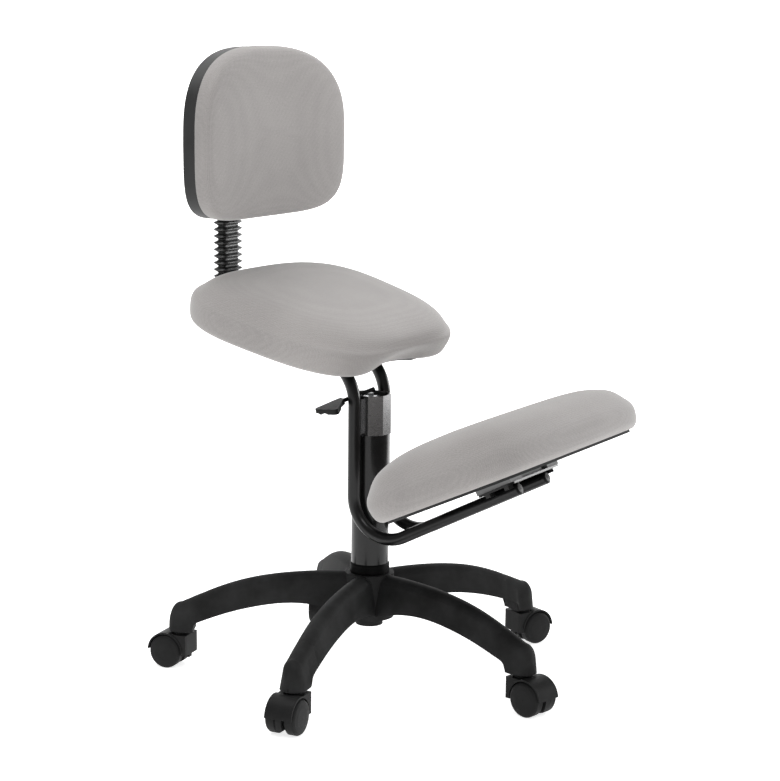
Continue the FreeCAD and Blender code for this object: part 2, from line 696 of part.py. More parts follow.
def tube_corners():
    """Centre line of a side tube in the YZ plane: rear end, two corners, front end."""
    below = (s.tube_rad + s.plate_thick) / trig("cos", s.seat_slope)
    slope = trig("tan", s.seat_slope)
    rear_z = s.seat_z - below + (s.tube_rear - s.seat_y) * slope
    corner_z = s.seat_z - below + (s.tube_y - s.seat_y) * slope
    front_z = s.tube_low + (s.tube_y - s.tube_front) * trig("tan", s.knee_slope)
    return [(s.tube_rear, rear_z), (s.tube_y, corner_z), (s.tube_y, s.tube_low), (s.tube_front, front_z)]


def frame_tubes():
    for side, way in (("left", 1), ("right", -1)):
        body = new_body(f"frame_tube_{side}_body")
        offset = s.tube_spacing / 2 * way
        path = bent_path(body, f"tube_path_{side}", "YZ", offset, tube_corners(), [s.top_bend, s.low_bend])
        doc.recompute()
        ring = body.newObject("Sketcher::SketchObject", f"tube_ring_{side}")
        ring.AttachmentSupport = [(path, "Edge1")]
        ring.MapMode = "NormalToEdge"
        ring.MapPathParameter = 0
        circle(ring, s.tube_rad)
        circle(ring, s.tube_rad - s.tube_wall)
        pipe(body, f"tube_sweep_{side}", ring, path)
        node(body, f"frame_tube_{side}")
    tube_caps()


def tube_caps():
    """Rounded plastic plugs in the four open tube ends."""
    rad, fit = s.tube_rad, s.tube_rad - s.tube_wall - 0.02
    plug = turned("cap_master", [
        (0, -12), (fit - 0.5, -12), (fit, -11), (fit, 0), (rad, 0), (rad, 1), (rad - 2.5, 3), (0, 3.6),
    ])
    corners = tube_corners()
    caps = []
    for side, way in (("left", 1), ("right", -1)):
        for end, (y, z), lean in (
            ("rear", corners[0], -(90 - s.seat_slope)), ("front", corners[-1], 90 - s.knee_slope),
        ):
            cap = group(f"cap_{end}_{side}", plug)
            place(cap, s.tube_spacing / 2 * way, y, z, X_AXIS, lean)
            caps.append(cap)
    node(group("tube_caps_group", *caps), "tube_caps")


# Cushions and boards: outlines are superellipses, so one function gives them all


def outline_point(turn, front, back, widths, power):
    """A point of a superellipse that is wider at one end than at the other."""
    c, d = math.cos(turn), math.sin(turn)
    share_x = math.copysign(abs(c) ** (2 / power), c)
    share_y = math.copysign(abs(d) ** (2 / power), d)
    y = share_y * (back if d > 0 else front)
    width = widths[1] + (widths[0] - widths[1]) * (0.5 + 0.5 * share_y)
    return share_x * width / 2, y


def outline_wire(front, back, widths, power, z=0, inset=0, steps=48):
    points = []
    for i in range(steps):
        x, y = outline_point(2 * math.pi * (i + 0.5) / steps, front - inset, back - inset,
                             [w - 2 * inset for w in widths], power)
        points.append(V(x, y, z))
    curve = Part.BSplineCurve()
    curve.interpolate(points, True)
    return Part.Wire([curve.toShape()])


def cushion_shape(front, back, widths, power, thick, edge):
    """A crowned pad: full outline at edge height, pulled in below and above."""
    levels = [(0.0, 10.0), (edge * 0.35, 3.0), (edge, 0.0), (edge * 1.6, 4.0),
              (thick - edge * 0.45, edge * 0.9), (thick - edge * 0.12, edge * 2.0), (thick, edge * 3.4)]
    wires = [outline_wire(front, back, widths, power, z, inset) for z, inset in levels]
    return Part.makeLoft(wires, True, False)


def board_shape(front, back, widths, power, thick, inset):
    face = Part.Face(outline_wire(front, back, widths, power, 0, inset))
    return face.extrude(V(0, 0, thick))


def front_arch(front, depth, tall, grow=0.0):
    """A tapering cutter that hollows the middle of a pad's front edge, depth deep at the underside."""
    radius = float(s.arch_rad)
    centre = V(0, -front + depth - radius, -1)
    if tall > radius / 2:
        return Part.makeCylinder(radius + grow, tall, centre)
    return Part.makeCone(radius + grow, radius + grow - depth, tall, centre)


def padded_pair(name, front, back, widths, power, thick, holes, setter, lean=0.0, arch=0.0):
    """A plywood board and the cushion moulded round its top and sides; lean turns the bolt holes,
    arch hollows the front edge."""
    board_thick = float(s.board_thick)
    board = board_shape(front, back, widths, power, board_thick, 16)
    if arch:
        board = board.cut(front_arch(front, arch, 100, 16))
    turn = FreeCAD.Rotation(X_AXIS, -lean)
    for x, y in holes:
        low = turn.multVec(V(x, y, -10))
        board = board.cut(Part.makeCylinder(float(s.bolt_rad), 30, low, turn.multVec(Z_AXIS)))
    gap = float(s.soft_gap)
    room = board_shape(front, back, widths, power, board_thick + gap, 16 - gap)
    cushion = cushion_shape(front, back, widths, power, thick, 27)
    if arch:
        room = room.cut(front_arch(front, arch, 100, 16 - gap))
        cushion = cushion.cut(front_arch(front, arch, 38))
    cushion = cushion.cut(room)
    for kind, shape in (("board", board), ("cushion", cushion)):
        piece = doc.addObject("Part::Feature", f"{name}_{kind}_body")
        piece.Shape = shape
        node(piece, f"{name}_{kind}", setter)


def hex_bolts(name, spots, head_low, shank_top, setter):
    """Hexagon bolts that point up, as one group."""
    body = new_body(f"{name}_head")
    sketch = new_sketch(body, f"{name}_hexagon", "XY")
    reach = s.bolt_rad * 1.875
    polygon(sketch, [
        (reach * math.cos(math.radians(30 + 60 * k)), reach * math.sin(math.radians(30 + 60 * k)))
        for k in range(6)
    ])
    pad(body, sketch, 5)
    shank = cylinder(f"{name}_shank", s.bolt_rad - 0.1, shank_top - head_low)
    bolt = fuse(f"{name}_bolt", body, shank)
    bolts = []
    for i, (x, y) in enumerate(spots):
        copy = group(f"{name}_{i + 1}", bolt)
        place(copy, x, y, head_low)
        bolts.append(copy)
    node(group(f"{name}_group", *bolts), name, setter)


# Seat: plate on the tubes, board and cushion, and the guide for the back bar


def seat():
    half_x, half_y = s.seat_plate_x / 2 - 12, s.seat_plate_y / 2 - 14
    spots = [(half_x * i, half_y * j) for i in (-1, 1) for j in (-1, 1)]
    plate_low = -s.plate_thick
    body = new_body("seat_plate_blank")
    sketch = new_sketch(body, "seat_plate_outline", "XY", plate_low)
    rectangle(sketch, s.seat_plate_x, s.seat_plate_y)
    sheet_pad = pad(body, sketch, s.plate_thick)
    doc.recompute()
    corners = body.newObject("PartDesign::Fillet", "seat_plate_corners")
    corners.Base = (sheet_pad, upright_edges(sheet_pad))
    corners.Radius = 14
    holes = new_sketch(body, "seat_plate_holes", "XY")
    for x, y in spots:
        circle(holes, s.bolt_rad + 0.3, x, y)
    pocket_through(body, holes)
    room = s.bar_width + 2 * s.slide_gap
    tall = s.bar_thick + 2 * s.slide_gap
    wall = s.plate_thick
    guide = block("bar_guide_outside", room + 2 * wall, 80, tall + wall, y=5, z=plate_low - tall - wall)
    slot = block("bar_guide_slot", room, 100, tall, y=5, z=plate_low - tall)
    thread = cylinder("bar_guide_thread", 4, 20, y=25, z=plate_low - tall - wall - 5)
    node(cut("seat_plate_cut", fuse("seat_plate_solid", body, guide), slot, thread),
         "seat_plate", in_seat_frame)
    widths = (float(s.seat_width), float(s.seat_width) * 0.86)
    padded_pair("seat", float(s.seat_depth) / 2, float(s.seat_depth) / 2, widths, 3.0,
                float(s.seat_thick), [(float(x), float(y)) for x, y in spots], in_seat_frame,
                arch=float(s.arch_deep))
    hex_bolts("seat_bolts", spots, plate_low - 5, s.board_thick - 1, in_seat_frame)
    knob = clamp_knob("depth_knob", plate_low - tall - wall, s.slide_gap)
    node(knob, "depth_knob", in_seat_frame)


def upright_edges(feature):
    names = []
    for i, edge in enumerate(feature.Shape.Edges, start=1):
        box = edge.BoundBox
        if box.XLength < 1e-6 and box.YLength < 1e-6:
            names.append(f"Edge{i}")
    return names


def clamp_knob(name, face_z, tip_gap, y=25):
    """A lobed hand knob below face_z whose screw reaches up to the bar."""
    rad, tall = s.knob_rad, s.knob_tall
    core = turned(f"{name}_core", [
        (0, 0), (rad - 3, 0), (rad, 3), (rad, tall - 6), (rad - 3, tall - 3), (8, tall - 3), (8, tall), (0, tall),
    ])
    cuts = []
    for k in range(7):
        turn = 2 * math.pi * k / 7
        reach = rad + 3
        cuts.append(cylinder(f"{name}_flute_{k + 1}", 6, tall * 2, reach * math.cos(turn),
                             reach * math.sin(turn), -5))
    screw = cylinder(f"{name}_screw", 3.95, s.plate_thick + tip_gap + 0.5, z=tall - 0.5)
    grip = cut(f"{name}_grip", core, *cuts)
    whole = fuse(f"{name}_solid", grip, screw)
    seat_z = face_z - tall - 0.3
    return group(f"{name}_group", place(whole, 0, y, seat_z))


# Back support: a bent flat bar, its bellows, the carrier that slides on it, shell and cushion


def bar_line():
    """Centre line of the flat bar in the YZ plane: front end, corner, top."""
    below = (s.plate_thick + s.slide_gap + s.bar_thick / 2) / trig("cos", s.seat_slope)
    slope = trig("tan", s.seat_slope)
    front_z = s.seat_z - below + (s.bar_front - s.seat_y) * slope
    corner_z = s.seat_z - below + (s.bar_y - s.seat_y) * slope
    return [(s.bar_front, front_z), (s.bar_y, corner_z), (s.bar_y, s.bar_top)]


def back_bar():
    body = new_body("back_bar_body")
    path = bent_path(body, "bar_path", "YZ", None, bar_line(), [s.bar_bend])
    doc.recompute()
    section = body.newObject("Sketcher::SketchObject", "bar_section")
    section.AttachmentSupport = [(path, "Edge1")]
    section.MapMode = "NormalToEdge"
    section.MapPathParameter = 0
    doc.recompute()
    # the section's own x may lie along or across the bar, so its direction is read first
    along_x = abs(section.Placement.Rotation.multVec(X_AXIS).x) > 0.5
    sides = (s.bar_width, s.bar_thick) if along_x else (s.bar_thick, s.bar_width)
    rectangle(section, *sides)
    pipe(body, "bar_sweep", section, path)
    node(body, "back_bar")


def bellows():
    """A pleated rubber sleeve round the bar, from the bend up to the carrier."""
    low, top = float(s.bellows_bottom), float(s.carrier_bottom) - 0.3
    count = int(float(s.pleats))
    pitch = (top - low) / count
    wires = []
    for i in range(2 * count + 1):
        wide, deep = (48.0, 22.0) if i % 2 else (43.0, 17.0)
        x, y, z = wide / 2, deep / 2, low + pitch * i / 2
        centre = float(s.bar_y)
        wires.append(Part.makePolygon([
            V(-x, centre - y, z), V(x, centre - y, z), V(x, centre + y, z), V(-x, centre + y, z),
            V(-x, centre - y, z),
        ]))
    sleeve = Part.makeLoft(wires, True, True)
    wide, deep = float(s.bar_width) + 1, float(s.bar_thick) + 3
    bore = Part.makeBox(wide, deep, 400, V(-wide / 2, float(s.bar_y) - deep / 2, low - 50))
    piece = doc.addObject("Part::Feature", "bellows_body")
    piece.Shape = sleeve.cut(bore)
    node(piece, "bellows")


def back_prism(inset):
    """The backrest outline as a long prism along Y."""
    points = []
    for i in range(60):
        turn = 2 * math.pi * (i + 0.5) / 60
        power = 2.6 if math.sin(turn) > 0 else 4.7
        x, y = outline_point(turn, float(s.back_down) - inset, float(s.back_up) - inset,
                             [float(s.back_width) - 2 * inset] * 2, power)
        points.append(V(x, 0, float(s.back_mid_z) + y))
    curve = Part.BSplineCurve()
    curve.interpolate(points, True)
    return Part.Face(Part.Wire([curve.toShape()])).extrude(V(0, 400, 0))


def curved_slab(front, rear, inset):
    """The part of the backrest prism between two curved faces, front and rear at X=0."""
    centre = float(s.back_front_y) - float(s.back_curve)
    low, tall = float(s.back_mid_z) - 200, 400
    outside = Part.makeCylinder(rear - centre, tall, V(0, centre, low))
    inside = Part.makeCylinder(front - centre, tall, V(0, centre, low))
    return back_prism(inset).common(outside.cut(inside))


def backrest():
    front, deep, wall = float(s.back_front_y), float(s.shell_deep), float(s.shell_wall)
    shell = curved_slab(front, front + deep, 0)
    shell = shell.cut(curved_slab(front - 5, front + deep - wall, wall))
    bosses = [Part.makeCylinder(6, deep, V(x, front + 3, z), Y_AXIS) for x, z in screw_spots()]
    inside = curved_slab(front - 5, front + deep - wall + 0.5, wall)
    shell = shell.fuse([boss.common(inside) for boss in bosses])
    pilots = [Part.makeCylinder(2, deep + 20, V(x, front + 6, z), Y_AXIS) for x, z in screw_spots()]
    piece = doc.addObject("Part::Feature", "back_shell_body")
    piece.Shape = shell.cut(pilots).removeSplitter()
    node(piece, "back_shell")
    gap = float(s.soft_gap)
    pad_front = front - float(s.back_pad)
    slabs = [(pad_front, pad_front + 9, 34), (pad_front + 9, pad_front + 18, 12)]
    cushion = curved_slab(pad_front + 18, front - gap, 1.5)
    for low, high, inset in slabs:
        cushion = cushion.fuse(curved_slab(low, high, inset))
    piece = doc.addObject("Part::Feature", "back_cushion_body")
    piece.Shape = cushion.removeSplitter()
    node(piece, "back_cushion")
    carrier()


def screw_spots():
    half = float(s.carrier_width) / 2 - 8
    low = float(s.carrier_bottom) + 10
    high = low + float(s.carrier_tall) - 20
    return [(x, z) for x in (-half, half) for z in (low, high)]


def carrier():
    """A box bracket on the shell's back; the bar runs through it and a knob clamps the bar."""
    rear_face = s.back_front_y + s.shell_deep
    back = s.bar_y + s.bar_thick / 2 + s.slide_gap + 5
    deep = back - rear_face
    tall, low, wide = s.carrier_tall, s.carrier_bottom, s.carrier_width
    case = doc.addObject("Part::Box", "carrier_case")
    for side, size in (("Length", wide), ("Width", deep), ("Height", tall)):
        case.setExpression(side, text_of(size))
    place(case, -wide / 2, rear_face + 0.1, low)
    slot = block("carrier_slot", s.bar_width + 2 * s.slide_gap, s.bar_thick + 2 * s.slide_gap, tall * 2,
                 y=s.bar_y, z=low - tall / 2)
    thread = cylinder("carrier_thread", 4, 60, y=s.bar_y + 60, z=low + tall / 2, axis=X_AXIS, angle=90)
    holes = [
        cylinder(f"carrier_screw_hole_{i + 1}", 2.3, 80, x=x, y=float(rear_face) + 70, z=z,
                 axis=X_AXIS, angle=90)
        for i, (x, z) in enumerate(screw_spots())
    ]
    node(cut("carrier_cut", case, slot, thread, *holes), "back_carrier")
    screw = turned("back_screw_master", [(0, 0), (4, 0), (4, 2.2), (2.25, 2.8), (2.25, 3), (1.95, 3),
                                         (1.95, 66), (0, 66)])
    copies = []
    for i, (x, z) in enumerate(screw_spots()):
        copy = group(f"back_screw_{i + 1}", screw)
        place(copy, x, back + 3.1, z, X_AXIS, 90)
        copies.append(copy)
    node(group("back_screws_group", *copies), "back_screws")
    knob = clamp_knob("height_knob", Size(0, "0"), Size(2.0, "2"), 0)
    holder = group("height_knob_holder", knob)
    place(holder, 0, back + 0.1, low + tall / 2, X_AXIS, 90)
    node(holder, "height_knob")


# Knee pad: plate across the tube ends, spacer blocks, board and cushion


def knee_pad():
    low = -s.knee_block
    half_x, half_y = s.tube_spacing / 2 + s.tube_rad + 11, s.knee_plate_y / 2 - 14
    spots = [(half_x * i, half_y * j) for i in (-1, 1) for j in (-1, 1)]
    body = new_body("knee_plate_body")
    sketch = new_sketch(body, "knee_plate_outline", "XY", low - s.plate_thick)
    rectangle(sketch, s.knee_plate_x, s.knee_plate_y)
    sheet_pad = pad(body, sketch, s.plate_thick)
    doc.recompute()
    corners = body.newObject("PartDesign::Fillet", "knee_plate_corners")
    corners.Base = (sheet_pad, upright_edges(sheet_pad))
    corners.Radius = 8
    holes = new_sketch(body, "knee_plate_holes", "XY")
    for x, y in spots:
        circle(holes, s.bolt_rad + 0.3, x, y)
    pocket_through(body, holes)
    node(body, "knee_plate", in_knee_frame)
    lean = s.knee_slope - s.pad_slope
    reach = s.knee_plate_y
    pad_room = block("knee_pad_room", s.knee_plate_x * 2, reach * 2, 20)
    place(pad_room, -s.knee_plate_x, -reach * trig("cos", lean), -reach * trig("sin", lean), X_AXIS, lean)
    tall = s.knee_block + 3
    middle = block("knee_block_middle", s.knee_plate_x - 86, s.knee_plate_y - 12, tall, z=low)
    node(cut("knee_block_wedge", middle, pad_room), "knee_centre_block", in_knee_frame)
    side_blocks = []
    for side in (-1, 1):
        name = "right" if side < 0 else "left"
        piece = block(f"knee_side_block_{name}", 34, s.knee_plate_y - 2, tall, x=side * (s.knee_plate_x / 2 - 18), z=low)
        hole = [
            cylinder(f"knee_side_hole_{name}_{i + 1}", s.bolt_rad + 0.3, 40, x=x, y=y, z=-25)
            for i, (x, y) in enumerate(spots) if float(x) * side > 0
        ]
        side_blocks.append(cut(f"knee_side_cut_{name}", piece, pad_room, *hole))
    node(group("knee_side_group", *side_blocks), "knee_side_blocks", in_knee_frame)
    hex_bolts("knee_bolts", spots, low - s.plate_thick - 5, s.board_thick - 1, in_knee_frame)
    padded_pair("knee", float(s.knee_front), float(s.knee_back), (float(s.knee_width),) * 2, 4.0,
                float(s.knee_thick), [(float(x), float(y)) for x, y in spots], in_pad_frame, float(lean))


# Build, check and export


def check_and_export():
    doc.recompute()
    faults = []
    for obj in doc.Objects:
        if "Invalid" in obj.State or "Error" in obj.State:
            faults.append(f"{obj.Name}: {obj.State}")
    for obj in NODES:
        if obj.Shape.isNull() or not obj.Shape.isValid() or not obj.Shape.Solids:
            faults.append(f"{obj.Label}: null, invalid or empty shape")
    labels = [obj.Label for obj in NODES]
    if len(set(labels)) != len(labels):
        faults.append("two pieces share a label")
    if faults:
        raise SystemExit("\n".join(faults))
    os.makedirs("parts", exist_ok=True)
    for obj in NODES:
        obj.Shape.exportStep(f"parts/{obj.Label}.step")
    print(len(NODES), "pieces")


star_base()
castors()
column()
gas_spring()
head()
frame_tubes()
seat()
back_bar()
bellows()
backrest()
knee_pad()
check_and_export()
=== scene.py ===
import json
import math

import bpy
from mathutils import Matrix, Vector


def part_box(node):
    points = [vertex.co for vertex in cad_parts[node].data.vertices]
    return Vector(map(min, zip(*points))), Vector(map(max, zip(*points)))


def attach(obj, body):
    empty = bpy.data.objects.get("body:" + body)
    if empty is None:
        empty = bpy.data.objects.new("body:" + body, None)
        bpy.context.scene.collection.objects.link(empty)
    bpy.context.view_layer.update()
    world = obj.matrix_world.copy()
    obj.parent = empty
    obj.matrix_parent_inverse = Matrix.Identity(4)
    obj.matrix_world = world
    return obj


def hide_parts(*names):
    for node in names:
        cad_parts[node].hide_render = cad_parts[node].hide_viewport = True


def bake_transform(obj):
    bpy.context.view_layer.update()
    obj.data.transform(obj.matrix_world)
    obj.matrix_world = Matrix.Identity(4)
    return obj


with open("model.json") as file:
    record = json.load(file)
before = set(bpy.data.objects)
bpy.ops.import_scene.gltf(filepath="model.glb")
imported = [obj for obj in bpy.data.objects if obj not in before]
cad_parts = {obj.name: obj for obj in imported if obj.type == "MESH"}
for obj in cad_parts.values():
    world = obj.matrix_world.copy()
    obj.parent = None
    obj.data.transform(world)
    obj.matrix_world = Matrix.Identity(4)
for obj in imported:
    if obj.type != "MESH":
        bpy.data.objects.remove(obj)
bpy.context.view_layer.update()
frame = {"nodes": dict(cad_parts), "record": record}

# Kneeling chair: the looks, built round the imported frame. Metres, origin on the floor under the
# column, +Z up, the sitter faces -Y.

NODES = frame["nodes"]

# the photograph's frame and view
PHOTO_WIDE, PHOTO_TALL = 780, 781
VIEW_TURN, VIEW_TILT, VIEW_ROLL = -58.8, 9.84, 0.5
VIEW_FAR, VIEW_AIM_Z = 3.0, 0.439
FOCAL_PIXELS = 2068.0
AIM_PIXEL = (371.3, 379.7)

# seat pad, in its own frame: +Y up the slope to the back, +Z through the pad
SEAT_SLOPE, SEAT_Y, SEAT_Z = 15.0, 0.084, 0.4962
SEAT_WIDE, SEAT_FRONT_SHARE, SEAT_DEEP, SEAT_THICK = 0.424, 0.86, 0.326, 0.070
# knee pad, in its own frame: +Y down the slope to the sitter
PAD_SLOPE, KNEE_WIDE, KNEE_FRONT, KNEE_BACK, KNEE_THICK = 24.9, 0.480, 0.130, 0.142, 0.082
TUBE_SLOPE, TUBE_LOW, TUBE_Y, TUBE_RAD, KNEE_Y = 27.2, 0.181, 0.0025, 0.009, -0.248
# from the tubes' axis over the plate and the spacers to the pad's underside
KNEE_LIFT = TUBE_RAD + 0.003 + 0.007
# backrest
BACK_WIDE, BACK_MID, BACK_UP, BACK_DOWN = 0.362, 0.789, 0.125, 0.122
BACK_CURVE, BACK_FACE = 1.200, 0.190
# hollow of the seat's front edge, in the cover: its spread to each side, its depth, how far up the
# side it reaches and how far it lifts the edge
HOLLOW_WIDE, HOLLOW_DEEP, HOLLOW_TALL, HOLLOW_LIFT = 0.095, 0.040, 0.062, 0.001
# how far ahead of the pad's middle the two lobes start, and the crown's dip between them
LOBES_FROM, CROWN_DIP = 0.055, 0.004
# the same hollow in the board: the arc's radius and depth
ARCH_RAD, ARCH_DEEP = 0.110, 0.034
# soft rise along the middle of the knee pad, and its spread to each side
KNEE_CROWN, KNEE_CROWN_WIDE = 0.002, 0.07
# base: arm directions, castor circle and the rounding round a castor's stem, in degrees and metres
FIRST_ARM_YAW, ARM_STEP, CASTOR_CIRCLE, SOCKET_RAD = 117.8, 72.0, 0.279, 0.0195
# the hub's top and the arm ends' underside; how far the crown falls over the end and how fast; the
# crown's width there as a share of half the end's
HUB_TOP, ARM_LOW, END_FALL, END_EASE, END_NARROW = 0.153, 0.057, 0.038, 1.15, 1.34
END_STEPS, END_STEP = 11, 8.0
# directions the castors trail in at rest
TRAILS = (99.0, 186.0, 257.0, 335.0, 205.0)
# along an arm: share of the castor circle, top below the hub's top, underside above the arm's foot,
# width below, width above
ARM_END = [
    (0.840, 0.0350, 0.0235, 0.0392, 0.0256), (0.865, 0.0369, 0.0212, 0.0401, 0.0265),
    (0.900, 0.0407, 0.0170, 0.0399, 0.0264), (0.932, 0.0448, 0.0130, 0.0396, 0.0263),
    (0.934, 0.0451, 0.0004, 0.0396, 0.0263), (0.960, 0.0484, 0.0, 0.0393, 0.0262),
    (0.980, 0.0509, 0.0, 0.0391, 0.0262), (1.000, 0.0536, 0.0, 0.0390, 0.0261),
]
# an arm's crown is an arc: its rise and radius as shares of its width
CROWN_RISE, CROWN_BEND = 0.36, 0.5272
# how the solid arm end is drawn in under its cover: where from and over what run, as shares of the
# castor circle, then by how much across, down and ahead
DRAWN_FROM, DRAWN_RUN = 0.88, 0.03
DRAWN_ACROSS, DRAWN_DOWN, DRAWN_AHEAD = 0.08, 0.016, 0.9
DRAWN_LOW, DRAWN_RISE = 0.070, 0.025
# points round the castor's socket that stay
SOCKET_KEPT_RAD, SOCKET_KEPT_TOP = 0.008, 0.0955
# stem side of a castor's hood: its reach, and the share of what lies beyond that is left
HOOD_REACH, HOOD_LEFT = 0.0145, 0.1
# board recess under a pad
BOARD_INSET, BOARD_DEEP = 0.0157, 0.0123
# points round a ring of a pad
PAD_STEPS = 120


# Small node-tree helpers


class Paint:
    """A material whose nodes are added one call at a time."""

    def __init__(self, name):
        self.material = bpy.data.materials.new(name)
        self.material.use_nodes = True
        self.tree = self.material.node_tree
        self.shader = self.tree.nodes["Principled BSDF"]
        self.where = self.add("ShaderNodeTexCoord").outputs["Object"]

    def add(self, kind, **settings):
        made = self.tree.nodes.new(kind)
        for name, value in settings.items():
            setattr(made, name, value)
        return made

    def link(self, source, target):
        self.tree.links.new(source, target)

    def put(self, made, **values):
        """Sets inputs by name: a socket is linked, a number is set."""
        for name, value in values.items():
            socket = made.inputs[name.replace("_", " ")]
            if isinstance(value, bpy.types.NodeSocket):
                self.link(value, socket)
            else:
                socket.default_value = value
        return made

    def stretched(self, scale, turn=(0, 0, 0)):
        """Object coordinates, turned and then scaled."""
        turned = self.add("ShaderNodeMapping", vector_type="POINT")
        self.link(self.where, turned.inputs["Vector"])
        turned.inputs["Rotation"].default_value = [math.radians(a) for a in turn]
        turned.inputs["Scale"].default_value = scale
        return turned.outputs["Vector"]

    def noise(self, size, detail=3.0, rough=0.5, scale=(1, 1, 1)):
        """Noise with features about size metres across."""
        made = self.add("ShaderNodeTexNoise")
        self.put(made, Vector=self.stretched(scale), Scale=1 / size, Detail=detail, Roughness=rough)
        return made.outputs["Fac"]

    def threads(self, pitch, direction, turn, wander=0.0, wander_size=0.05):
        """Sine bands of one thread direction, pitch metres apart."""
        made = self.add("ShaderNodeTexWave", wave_type="BANDS", bands_direction=direction)
        self.put(made, Vector=self.stretched((1, 1, 1), turn), Scale=math.pi / (10 * pitch))
        self.put(made, Distortion=wander, Detail=1.0)
        made.inputs["Detail Scale"].default_value = pitch / wander_size
        return made.outputs["Fac"]

    def maths(self, operation, first, second):
        made = self.add("ShaderNodeMath", operation=operation)
        for socket, value in zip(made.inputs, (first, second)):
            if isinstance(value, bpy.types.NodeSocket):
                self.link(value, socket)
            else:
                socket.default_value = value
        return made.outputs[0]

    def ramp(self, factor, *stops):
        """A colour ramp from (place, colour) stops."""
        made = self.add("ShaderNodeValToRGB")
        self.link(factor, made.inputs["Fac"])
        marks = made.color_ramp.elements
        while len(marks) < len(stops):
            marks.new(0.5)
        for mark, (spot, colour) in zip(marks, stops):
            mark.position = spot
            mark.color = (*colour, 1)
        return made.outputs["Color"]

    def span(self, factor, low, high):
        """factor spread from low to high."""
        made = self.add("ShaderNodeMapRange")
        self.link(factor, made.inputs["Value"])
        made.inputs["To Min"].default_value = low
        made.inputs["To Max"].default_value = high
        return made.outputs["Result"]

    def bump(self, height, distance, strength=1.0, under=None):
        made = self.add("ShaderNodeBump")
        self.put(made, Height=height, Distance=distance, Strength=strength)
        if under:
            self.link(under, made.inputs["Normal"])
        return made.outputs["Normal"]

    def finish(self, **values):
        """Sets the shader's inputs and gives the material."""
        self.put(self.shader, **values)
        return self.material


def grey(level, warm=0.0):
    """A linear grey, a little warmer or cooler."""
    return (level * (1 + warm), level, level * (1 - warm))


# Materials


def fabric(name, slope, level=0.30):
    """Plain woven upholstery: fine crossed threads, flecked yarn, soft nap."""
    paint = Paint(name)
    turn = (slope, 0, 0)
    warp = paint.threads(0.0021, "X", turn, 0.6)
    weft = paint.threads(0.0019, "Y", turn, 0.6)
    rise = paint.threads(0.0021, "Z", turn, 0.6)
    cloth = paint.maths("ADD", paint.maths("ADD", warp, weft), rise)
    ribs = paint.threads(0.0052, "DIAGONAL", turn, 5.0, 0.09)
    fleck = paint.noise(0.0013, 2.0, 0.6)
    cloud = paint.noise(0.12, 3.0, 0.5)
    tone = paint.maths("MULTIPLY", cloth, 0.05)
    tone = paint.maths("ADD", tone, paint.maths("MULTIPLY", ribs, 0.035))
    tone = paint.maths("ADD", tone, paint.maths("MULTIPLY", fleck, 0.55))
    tone = paint.maths("ADD", tone, paint.maths("MULTIPLY", cloud, 0.35))
    tint = (1.05, 1.0, 0.975)
    dark, light = ([share * level * part for part in tint] for share in (0.82, 1.14))
    colour = paint.ramp(tone, (0.34, dark), (0.74, light))
    weave = paint.bump(cloth, 0.00025, 0.3)
    normal = paint.bump(cloud, 0.004, 0.25, weave)
    return paint.finish(
        Base_Color=colour, Normal=normal, Roughness=0.92, Sheen_Weight=0.28, Sheen_Roughness=0.45,
        Specular_IOR_Level=0.2,
    )


def moulded_plastic(name, level, rough, grain=0.0009, mottle=0.35, shine=0.25):
    """Moulded plastic: fine spark-eroded grain, slow changes of tone and gloss."""
    paint = Paint(name)
    cloud = paint.noise(0.045, 3.0, 0.55)
    speck = paint.noise(grain, 2.0, 0.5)
    dark, light = grey(level * (1 - mottle)), grey(level * (1 + mottle), -0.01)
    colour = paint.ramp(cloud, (0.3, dark), (0.7, light))
    normal = paint.bump(cloud, 0.002, 0.15, paint.bump(speck, 0.00012, 0.6))
    return paint.finish(
        Base_Color=colour, Normal=normal, Roughness=paint.span(cloud, rough - 0.06, rough + 0.08),
        Specular_IOR_Level=shine,
    )


def lacquered_steel(name, level, rough, clear):
    """Powder-coated tube: deep black with a slight orange peel under a clear coat."""
    paint = Paint(name)
    peel = paint.noise(0.0035, 2.0, 0.5)
    cloud = paint.noise(0.08, 2.0, 0.5)
    colour = paint.ramp(cloud, (0.3, grey(level * 0.8)), (0.7, grey(level * 1.25, -0.02)))
    normal = paint.bump(peel, 0.0002, 0.12)
    return paint.finish(
        Base_Color=colour, Normal=normal, Roughness=paint.span(cloud, rough, rough + 0.07),
        Coat_Weight=clear, Coat_Roughness=0.07, Specular_IOR_Level=0.25,
    )


def bare_metal(name, colour, rough, grain=(1, 1, 14)):
    """Zinc-plated or ground steel with a fine directional grain."""
    paint = Paint(name)
    lines = paint.noise(0.004, 4.0, 0.6, grain)
    tint = paint.ramp(lines, (0.3, [c * 0.78 for c in colour]), (0.7, colour))
    return paint.finish(
        Base_Color=tint, Normal=paint.bump(lines, 0.00008, 0.4), Metallic=1.0,
        Roughness=paint.span(lines, rough, rough + 0.12),
    )


def rubber(name, level=0.012, rough=0.34):
    """Black rubber with a faint bloom."""
    paint = Paint(name)
    bloom = paint.noise(0.02, 4.0, 0.6)
    colour = paint.ramp(bloom, (0.35, grey(level)), (0.75, grey(level * 2.2, 0.01)))
    return paint.finish(
        Base_Color=colour, Normal=paint.bump(paint.noise(0.0012), 0.0001, 0.5),
        Roughness=paint.span(bloom, rough - 0.05, rough + 0.12), Specular_IOR_Level=0.6,
    )


def black_board(name):
    """Plywood under a stapled black felt: flat fibres."""
    paint = Paint(name)
    fibre = paint.noise(0.0012, 5.0, 0.7, (1, 3, 1))
    colour = paint.ramp(fibre, (0.3, grey(0.018)), (0.75, grey(0.05, -0.02)))
    return paint.finish(
        Base_Color=colour, Normal=paint.bump(fibre, 0.0003, 0.5), Roughness=0.85,
        Specular_IOR_Level=0.25,
    )


